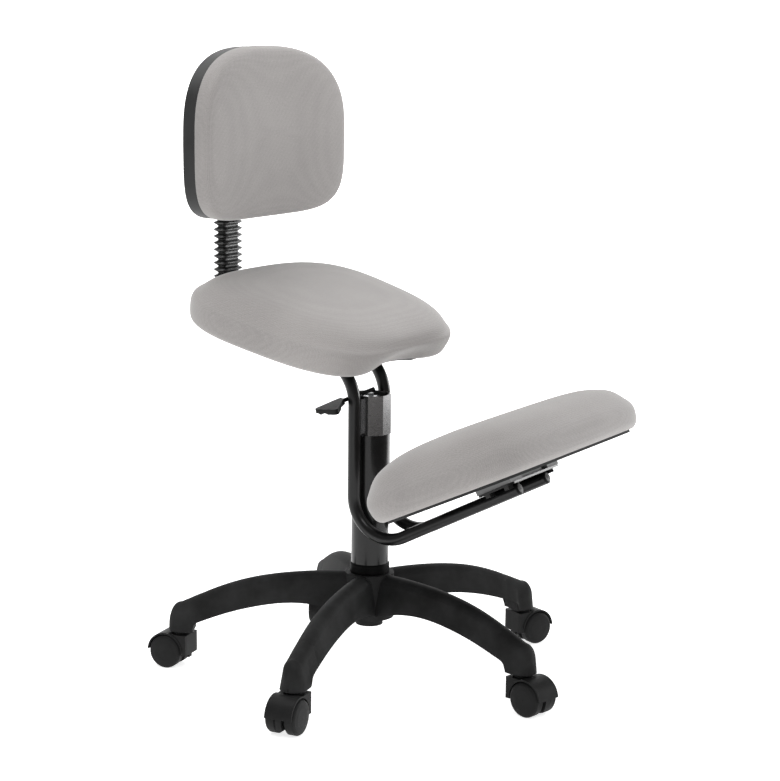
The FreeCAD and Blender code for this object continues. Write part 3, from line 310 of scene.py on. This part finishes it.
def studio_paper(name, glow):
    """Pale matt studio paper with a glow of its own."""
    paint = Paint(name)
    tone = paint.ramp(paint.noise(0.6, 2.0), (0.3, grey(0.90)), (0.7, grey(0.93)))
    return paint.finish(
        Base_Color=tone, Roughness=0.95, Specular_IOR_Level=0.1, Emission_Color=(1, 1, 1, 1),
        Emission_Strength=glow,
    )


def paint_nodes():
    """Gives every carried-over solid its finish, by the record's material slots."""
    finishes = {
        "base_plastic": moulded_plastic("base_nylon", 0.020, 0.62, 0.0009, 0.35, 0.07),
        "castor_plastic": moulded_plastic("castor_nylon", 0.012, 0.50, 0.0006, 0.25, 0.10),
        "black_steel": lacquered_steel("black_coat", 0.003, 0.26, 0.12),
        "grey_steel": bare_metal("dull_steel", (0.26, 0.26, 0.262), 0.22),
        "zinc_steel": bare_metal("zinc", (0.55, 0.56, 0.57), 0.28),
        "hard_chrome": bare_metal("chrome", (0.72, 0.73, 0.75), 0.10),
        "bearing_plastic": moulded_plastic("acetal", 0.55, 0.40, 0.001, 0.06),
        "black_rubber": rubber("black_rubber"),
        "grey_fabric": fabric("spare_fabric", SEAT_SLOPE),
        "plywood": black_board("felt_board"),
        "shell_plastic": moulded_plastic("shell_grain", 0.020, 0.50, 0.0012, 0.2, 0.3),
        "grey_plastic": moulded_plastic("spacer_grey", 0.20, 0.50, 0.001, 0.12),
        "gloss_black": moulded_plastic("knob_black", 0.007, 0.34, 0.0008, 0.3, 0.12),
    }
    for row in frame["record"]["subparts"]:
        piece = NODES[row["node"]]
        piece.data.materials.clear()
        piece.data.materials.append(finishes[row["material_slot"]])
    collar = moulded_plastic("collar_black", 0.003, 0.5, 0.0009, 0.2, 0.04)
    NODES["hub_collar"].data.materials[0] = collar
    NODES["column_tube"].data.materials[0] = lacquered_steel("column_coat", 0.004, 0.22, 0.16)


# Mesh helpers


def made_mesh(name, points, faces, material):
    """A smooth-shaded object of its own from points and faces."""
    mesh = bpy.data.meshes.new(name)
    mesh.from_pydata([tuple(p) for p in points], [], faces)
    mesh.validate()
    mesh.polygons.foreach_set("use_smooth", [True] * len(mesh.polygons))
    mesh.materials.append(material)
    piece = bpy.data.objects.new(name, mesh)
    bpy.context.scene.collection.objects.link(piece)
    return piece


def ring_skin(rings, cap_low=True, cap_high=True):
    """Points and faces of a skin through rings of equal length, its ends closed by centre points."""
    count = len(rings[0])
    points = [p for ring in rings for p in ring]
    faces = []
    for row in range(len(rings) - 1):
        for i in range(count):
            j = (i + 1) % count
            a, b = row * count, (row + 1) * count
            faces.append((a + i, a + j, b + j, b + i))
    for wanted, row, flip in ((cap_low, 0, True), (cap_high, len(rings) - 1, False)):
        if not wanted:
            continue
        centre = sum((Vector(p) for p in rings[row]), Vector()) / count
        points.append(centre)
        for i in range(count):
            j = (i + 1) % count
            face = (row * count + i, row * count + j, len(points) - 1)
            faces.append(face[::-1] if flip else face)
    return points, faces


def outline(turn, front, back, wide_front, wide_back, power):
    """A point of a superellipse that is wider at one end than at the other."""
    c, d = math.cos(turn), math.sin(turn)
    share_x = math.copysign(abs(c) ** (2 / power), c)
    share_y = math.copysign(abs(d) ** (2 / power), d)
    wide = wide_front + (wide_back - wide_front) * (0.5 + 0.5 * share_y)
    return share_x * wide / 2, share_y * (back if d > 0 else front)


def smooth_step(value):
    """0 below 0, 1 above 1 and an even curve between."""
    value = min(1.0, max(0.0, value))
    return value * value * (3 - 2 * value)


def refined(profile, parts):
    """A smooth run of points through a profile of (inset, height) pairs."""
    ends = [profile[0]] + list(profile) + [profile[-1]]
    run = []
    for k in range(len(profile) - 1):
        p0, p1, p2, p3 = (Vector(q) for q in ends[k:k + 4])
        for i in range(parts):
            t = i / parts
            run.append(0.5 * (2 * p1 + (p2 - p0) * t + (2 * p0 - 5 * p1 + 4 * p2 - p3) * t * t
                              + (3 * p1 - p0 - 3 * p2 + p3) * t ** 3))
    run.append(Vector(profile[-1]))
    return run


def evened(mesh, steps, held, rounds=30):
    """Averages each point's step with its neighbours' some rounds over; held points don't move."""
    near = [[] for _ in steps]
    for edge in mesh.edges:
        a, b = edge.vertices
        near[a].append(b)
        near[b].append(a)
    steps = [Vector() if i in held else step for i, step in enumerate(steps)]
    for _ in range(rounds):
        steps = [step if i in held else sum((steps[j] for j in near[i]), step) / (len(near[i]) + 1)
                 for i, step in enumerate(steps)]
    return steps


def swell(piece, held_rings, pressure, limit, frames=20):
    """Lets air pressure round a foam pad out as cloth. The first rings and the point that closes them
    are held, and no point moves further than the limit."""
    held = list(range(PAD_STEPS * held_rings)) + [len(piece.data.vertices) - 2]
    rest = [v.co.copy() for v in piece.data.vertices]
    piece.vertex_groups.new(name="held").add(held, 1.0, "REPLACE")
    cloth = piece.modifiers.new("swell", "CLOTH")
    cloth.settings.quality = 5
    cloth.settings.mass = 0.3
    cloth.settings.vertex_group_mass = "held"
    cloth.settings.use_pressure = True
    cloth.settings.uniform_pressure_force = pressure
    cloth.settings.effector_weights.gravity = 0
    cloth.point_cache.frame_end = frames
    for step in range(1, frames + 1):
        bpy.context.scene.frame_set(step)
    shaped = piece.evaluated_get(bpy.context.evaluated_depsgraph_get()).to_mesh()
    moved = [v.co.copy() for v in shaped.vertices]
    piece.evaluated_get(bpy.context.evaluated_depsgraph_get()).to_mesh_clear()
    piece.modifiers.clear()
    piece.vertex_groups.clear()
    bpy.context.scene.frame_set(1)
    steps = evened(piece.data, [end - start for start, end in zip(rest, moved)], set(held))
    largest = max(step.length for step in steps)
    for vertex, start, step in zip(piece.data.vertices, rest, steps):
        vertex.co = start + step * min(1.0, limit / largest)


def subdivided(piece):
    """One round of subdivision, which rounds a piece's edges off."""
    modifier = piece.modifiers.new("rounding", "SUBSURF")
    modifier.levels = 1
    modifier.render_levels = 1


# Cushions


def pad_rings(front, back, wide_front, wide_back, power, profile, shape):
    """Rings of a pad from the middle of its underside over the sides to the middle of its top."""
    rings = []
    for inset, height in profile:
        ring = []
        for i in range(PAD_STEPS):
            turn = 2 * math.pi * (i + 0.5) / PAD_STEPS
            x, y = outline(turn, front - inset, back - inset, wide_front - 2 * inset,
                           wide_back - 2 * inset, power)
            ring.append(shape(Vector((x, y, height))))
        rings.append(ring)
    return rings


def pad_profile(thick, edge_low, edge_high, tuck, half_deep):
    """(inset, height) from the board's recess, under the lip, up the side and over the crown."""
    lip = BOARD_INSET
    under = [(half_deep * 0.96, BOARD_DEEP), (half_deep * 0.5, BOARD_DEEP), (lip + 0.006, BOARD_DEEP),
             (lip, BOARD_DEEP - 0.001), (lip, tuck + 0.003), (lip - 0.001, tuck + 0.0006)]
    side = refined([
        (lip - 0.003, tuck), (0.0085, tuck + 0.0018), (0.0032, tuck + 0.0080), (0.0, edge_low),
        (0.0012, edge_low * 1.45),
        (0.0075, thick - edge_high * 0.72), (0.0215, thick - edge_high * 0.34),
        (0.047, thick - edge_high * 0.10), (half_deep * 0.56, thick * 0.994),
        (half_deep * 0.78, thick * 1.004), (half_deep * 0.96, thick * 1.006),
    ], 3)
    return under, side


def make_pad(name, node, place, sizes, power, edges, material, shape):
    """One upholstered pad that stands for its cushion solid and rides the frame."""
    front, back, wide_front, wide_back, thick = sizes
    under, side = pad_profile(thick, *edges, min(front, back))
    rings = pad_rings(front, back, wide_front, wide_back, power, under + side, shape)
    points, faces = ring_skin(rings)
    piece = made_mesh(name, points, faces, material)
    swell(piece, len(under) + 4, 3.0, 0.0025)
    piece.data.transform(place)
    piece.data.update()
    subdivided(piece)
    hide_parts(node)
    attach(piece, "frame")


def seat_shape(point):
    """Two thigh lobes on the front edge, with an arch between them under the seat."""
    half_deep = SEAT_DEEP / 2
    ahead = smooth_step((-point.y - LOBES_FROM) / (half_deep - LOBES_FROM))
    middle = math.exp(-((point.x / HOLLOW_WIDE) ** 2))
    low = 1 - smooth_step(point.z / HOLLOW_TALL)
    moved = point.copy()
    moved.y += HOLLOW_DEEP * middle * low * ahead
    moved.z += HOLLOW_LIFT * middle * low * ahead
    # the crown dips between the thighs
    crown = smooth_step(point.z / SEAT_THICK)
    moved.z -= CROWN_DIP * middle * ahead * crown
    return moved


def seat_place():
    """The seat pad's own frame: the middle of its underside, tilted."""
    slope = Matrix.Rotation(math.radians(SEAT_SLOPE), 4, "X")
    return Matrix.Translation((0, SEAT_Y, SEAT_Z)) @ slope


def seat_pad():
    """The seat cushion, a little narrower at the front."""
    half = SEAT_DEEP / 2
    sizes = (half, half, SEAT_WIDE * SEAT_FRONT_SHARE, SEAT_WIDE, SEAT_THICK)
    material = fabric("seat_fabric", -SEAT_SLOPE, 0.305)
    edges = (0.026, 0.036, 0.0)
    make_pad("seat_pad_cover", "seat_cushion", seat_place(), sizes, 3.0, edges, material, seat_shape)


def knee_place():
    """The knee pad's own frame, lifted off the tubes by the plate and the board under it."""
    slope = math.radians(TUBE_SLOPE)
    rise = TUBE_LOW + (TUBE_Y - KNEE_Y) * math.tan(slope)
    y = KNEE_Y + KNEE_LIFT * math.sin(slope)
    z = rise + KNEE_LIFT * math.cos(slope)
    return Matrix.Translation((0, y, z)) @ Matrix.Rotation(math.radians(-PAD_SLOPE), 4, "X")


def knee_shape(point):
    """A soft rise across the middle of the crown."""
    moved = point.copy()
    crown = smooth_step((point.z - 0.5 * KNEE_THICK) / (0.5 * KNEE_THICK))
    moved.z += KNEE_CROWN * crown * math.exp(-((point.y / KNEE_CROWN_WIDE) ** 2))
    return moved


def knee_pad():
    """The knee cushion, a rounded oblong."""
    sizes = (KNEE_FRONT, KNEE_BACK, KNEE_WIDE, KNEE_WIDE, KNEE_THICK)
    material = fabric("knee_fabric", PAD_SLOPE, 0.282)
    edges = (0.026, 0.046, 0.0036)
    make_pad("knee_pad_cover", "knee_cushion", knee_place(), sizes, 4.0, edges, material, knee_shape)


def back_point(x, z, forward):
    """A point on the backrest, forward metres in front of the shell's rim, on its curve across."""
    centre = BACK_FACE - BACK_CURVE
    radius = BACK_CURVE - forward
    return Vector((x, centre + math.sqrt(radius * radius - x * x), BACK_MID + z))


def back_pad():
    """The backrest cushion: crowned over the front, tucked in against the shell's rim."""
    profile = [(0.110, 0.0006), (0.05, 0.0006), (0.0035, 0.0002)] + refined([
        (0.0012, -0.0046), (-0.0009, -0.0048), (-0.0014, 0.0010), (-0.0008, 0.0085), (0.0014, 0.0150),
        (0.0075, 0.0198), (0.022, 0.0230), (0.050, 0.0248), (0.085, 0.0256), (0.114, 0.0258),
    ], 3)
    rings = []
    for inset, forward in profile:
        ring = []
        for i in range(PAD_STEPS):
            turn = 2 * math.pi * (i + 0.5) / PAD_STEPS
            power = 2.6 if math.sin(turn) > 0 else 4.7
            wide = BACK_WIDE - 2 * inset
            x, z = outline(turn, BACK_DOWN - inset, BACK_UP - inset, wide, wide, power)
            ring.append(back_point(x, z, forward))
        rings.append(ring)
    points, faces = ring_skin(rings)
    piece = made_mesh("back_pad_cover", points, faces, fabric("back_fabric", 90, 0.280))
    swell(piece, 5, 2.0, 0.0015)
    subdivided(piece)
    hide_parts("back_cushion")
    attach(piece, "backrest")


# Base, castor hoods and seat board: solids with eased shapes


def reshaped(node, name, body, move):
    """A copy of a solid with every point passed through move, which stands for the solid."""
    source = NODES[node]
    mesh = source.data.copy()
    place = source.matrix_world.copy()
    undo = place.inverted()
    for vertex in mesh.vertices:
        vertex.co = undo @ move(place @ vertex.co)
    piece = bpy.data.objects.new(name, mesh)
    piece.matrix_world = place
    bpy.context.scene.collection.objects.link(piece)
    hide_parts(node)
    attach(piece, body)


def arm_frame(k):
    """The turn of arm k about the column, its own frame having X along the arm."""
    return Matrix.Rotation(math.radians(FIRST_ARM_YAW + ARM_STEP * k), 4, "Z")


def shrunk_arm_end(point):
    """Draws the end of an arm in a little, to lie inside the cover that goes over it."""
    yaw = math.degrees(math.atan2(point.y, point.x))
    turn = arm_frame(round((yaw - FIRST_ARM_YAW) / ARM_STEP))
    local = turn.inverted() @ point
    share = smooth_step((local.x - DRAWN_FROM * CASTOR_CIRCLE) / (DRAWN_RUN * CASTOR_CIRCLE))
    from_stem = math.hypot(local.x - CASTOR_CIRCLE, local.y)
    if share == 0 or (from_stem < SOCKET_KEPT_RAD and local.z < SOCKET_KEPT_TOP):
        return point
    local.y *= 1 - DRAWN_ACROSS * share
    local.z -= DRAWN_DOWN * share * smooth_step((local.z - DRAWN_LOW) / DRAWN_RISE)
    if local.x > CASTOR_CIRCLE:
        local.x = CASTOR_CIRCLE + (local.x - CASTOR_CIRCLE) * DRAWN_AHEAD
    return turn @ local


def arch_section(radius, top, bottom, wide, narrow):
    """An outline across an arm: up one leaning side, over the crown and down the other side."""
    bend = CROWN_BEND * narrow
    half_turn = math.asin(0.5 * narrow / bend)
    shoulder = top - CROWN_RISE * narrow
    side = [(wide / 2 + (narrow - wide) / 2 * i / 6, bottom + (shoulder - bottom) * i / 6)
            for i in range(6)]
    crown = []
    for i in range(13):
        turn = half_turn * (1 - i / 6)
        crown.append((bend * math.sin(turn), top - bend + bend * math.cos(turn)))
    run = side + crown + [(-y, z) for y, z in reversed(side)]
    return [Vector((radius, y, z)) for y, z in run]


def arm_end_cover(k, material):
    """The rounded end of one arm over its castor's socket."""
    middle, reach = CASTOR_CIRCLE, SOCKET_RAD
    rings = [arch_section(middle * share, HUB_TOP - drop, ARM_LOW + rise, wide, narrow)
             for share, drop, rise, wide, narrow in ARM_END]
    for step in range(1, END_STEPS + 1):
        turn = math.radians(END_STEP * step)
        half = reach * math.cos(turn)
        fall = END_FALL * (1 - math.cos(turn)) ** END_EASE
        top = HUB_TOP - ARM_END[-1][1] - fall
        rings.append(arch_section(middle + reach * math.sin(turn), top, ARM_LOW, 2 * half,
                                  END_NARROW * half))
    count = len(rings[0])
    points = [p for ring in rings for p in ring]
    faces = [(a + i, a + i + 1, a + count + i + 1, a + count + i)
             for a in range(0, count * (len(rings) - 1), count) for i in range(count - 1)]
    piece = made_mesh(f"arm_{k + 1}_end_cover", points, faces, material)
    piece.data.transform(arm_frame(k))
    piece.data.flip_normals()
    subdivided(piece)
    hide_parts("star_base")
    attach(piece, "base")


def eased_hood(stem_yaw, trail_yaw):
    """Draws the stem side of a castor's hood in to its neck."""
    stem = Vector((CASTOR_CIRCLE * math.cos(stem_yaw), CASTOR_CIRCLE * math.sin(stem_yaw), 0))
    turn = Matrix.Rotation(trail_yaw, 4, "Z")

    def move(point):
        local = turn.inverted() @ (point - stem)
        if local.x < -HOOD_REACH:
            local.x = -HOOD_REACH + (local.x + HOOD_REACH) * HOOD_LEFT
        return turn @ local + stem

    return move


def base_covers():
    """Covers of the base, of its five arm ends and of the castors' hoods."""
    reshaped("star_base", "star_base_cover", "base", shrunk_arm_end)
    nylon = NODES["star_base"].data.materials[0]
    for k, trail in enumerate(TRAILS):
        arm_end_cover(k, nylon)
        stem_yaw = math.radians(FIRST_ARM_YAW + ARM_STEP * k)
        castor = f"castor_{k + 1}"
        reshaped(f"{castor}_hood", f"{castor}_hood_cover", castor,
                 eased_hood(stem_yaw, math.radians(trail)))


def seat_board_cover():
    """The seat board, its front edge hollowed as deep as the cushion over it."""
    place = seat_place()
    undo = place.inverted()

    def move(point):
        local = undo @ point
        shift = seat_shape(local).y - local.y
        carved = math.sqrt(max(0.0, ARCH_RAD ** 2 - local.x ** 2)) - (ARCH_RAD - ARCH_DEEP)
        if local.y < 0:
            local.y += max(0.0, shift - max(0.0, carved))
        return place @ local

    reshaped("seat_board", "seat_board_cover", "frame", move)


# Bellows


def rounded_rectangle(wide, deep, corner, steps):
    """Points round a rectangle with rounded corners, counted from its right side."""
    points = []
    for k, (sx, sy) in enumerate(((1, 1), (-1, 1), (-1, -1), (1, -1))):
        for i in range(steps):
            turn = math.pi / 2 * (k + i / (steps - 1))
            points.append((sx * (wide / 2 - corner) + corner * math.cos(turn),
                           sy * (deep / 2 - corner) + corner * math.sin(turn)))
    return points


def bellows_sleeve():
    """Pleats with a small rounded crest each, spread over the bellows' span between the bar and the
    backrest.
    """
    low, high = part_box("bellows")
    middle = (low + high) / 2
    wide, deep = high.x - low.x, high.y - low.y
    pleats = 11
    pitch = (high.z - low.z) / pleats
    crest = [(0.0, 1.0), (0.13, 0.96), (0.30, 0.40), (0.46, 0.0), (0.60, 0.02), (0.84, 0.80)]
    rings = []
    for k in range(pleats):
        for along, out in crest:
            inset = (1 - out) * 0.0060 - 0.0014
            flat = rounded_rectangle(wide - 2 * inset, deep - 2 * inset, 0.0070 - inset * 0.5, 6)
            rings.append([Vector((x, middle.y + y, low.z + (k + along) * pitch)) for x, y in flat])
    points, faces = ring_skin(rings, False, False)
    piece = made_mesh("bellows_sleeve", points, faces, rubber("bellows_rubber", 0.010, 0.22))
    subdivided(piece)
    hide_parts("bellows")
    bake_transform(piece)


# Studio


def studio():
    """A pale floor and backdrop, soft light from the front, the side and above."""
    bpy.ops.mesh.primitive_plane_add(size=60)
    floor = bpy.context.object
    floor.name = "floor"
    floor.data.materials.append(studio_paper("floor_paper", 0.75))
    away = Matrix.Rotation(math.radians(VIEW_TURN), 4, "Z")
    bpy.ops.mesh.primitive_plane_add(size=1)
    backdrop = bpy.context.object
    backdrop.name = "backdrop"
    backdrop.matrix_world = (Matrix.Translation((0, 0, 4)) @ away @ Matrix.Translation((0, 6, 0))
                             @ Matrix.Rotation(math.pi / 2, 4, "X") @ Matrix.Diagonal((9, 8.4, 1, 1)))
    backdrop.data.materials.append(studio_paper("backdrop_paper", 1.1))
    world = bpy.data.worlds.new("studio")
    world.use_nodes = True
    world.node_tree.nodes["Background"].inputs["Color"].default_value = (1, 1, 1, 1)
    world.node_tree.nodes["Background"].inputs["Strength"].default_value = 0.34
    bpy.context.scene.world = world
    for name, spot, aim, size, power in (
        ("key_light", (-1.7, -1.9, 2.9), (0, 0, 0.7), 1.4, 31),
        ("side_light", (2.7, -1.65, 0.7), (0, 0, 0.4), 0.9, 32),
        ("top_light", (-0.3, 0.5, 2.9), (0, 0, 0.5), 1.8, 52),
    ):
        lamp = bpy.data.lights.new(name, "AREA")
        lamp.size = size
        lamp.energy = power
        holder = bpy.data.objects.new(name, lamp)
        holder.location = spot
        holder.rotation_euler = (Vector(aim) - Vector(spot)).to_track_quat("-Z", "Y").to_euler()
        bpy.context.scene.collection.objects.link(holder)


def camera():
    """The photograph's view: from the sitter's right and a little in front, slightly above."""
    turn, tilt = math.radians(VIEW_TURN), math.radians(VIEW_TILT)
    back = Vector((math.sin(turn) * math.cos(tilt), -math.cos(turn) * math.cos(tilt), math.sin(tilt)))
    lens = bpy.data.cameras.new("camera")
    lens.sensor_fit = "HORIZONTAL"
    lens.sensor_width = 36.0
    lens.lens = lens.sensor_width * FOCAL_PIXELS / PHOTO_WIDE
    lens.shift_x = (PHOTO_WIDE / 2 - AIM_PIXEL[0]) / PHOTO_WIDE
    lens.shift_y = (AIM_PIXEL[1] - PHOTO_TALL / 2) / PHOTO_WIDE
    holder = bpy.data.objects.new("camera", lens)
    aim = Vector((0, 0, VIEW_AIM_Z))
    roll = Matrix.Rotation(math.radians(VIEW_ROLL), 4, "Z")
    holder.matrix_world = Matrix.Translation(aim + back * VIEW_FAR) @ back.to_track_quat(
        "Z", "Y").to_matrix().to_4x4() @ roll
    bpy.context.scene.collection.objects.link(holder)
    bpy.context.scene.camera = holder


bpy.context.scene.view_settings.view_transform = "Standard"
paint_nodes()
seat_pad()
knee_pad()
back_pad()
bellows_sleeve()
base_covers()
seat_board_cover()
studio()
camera()
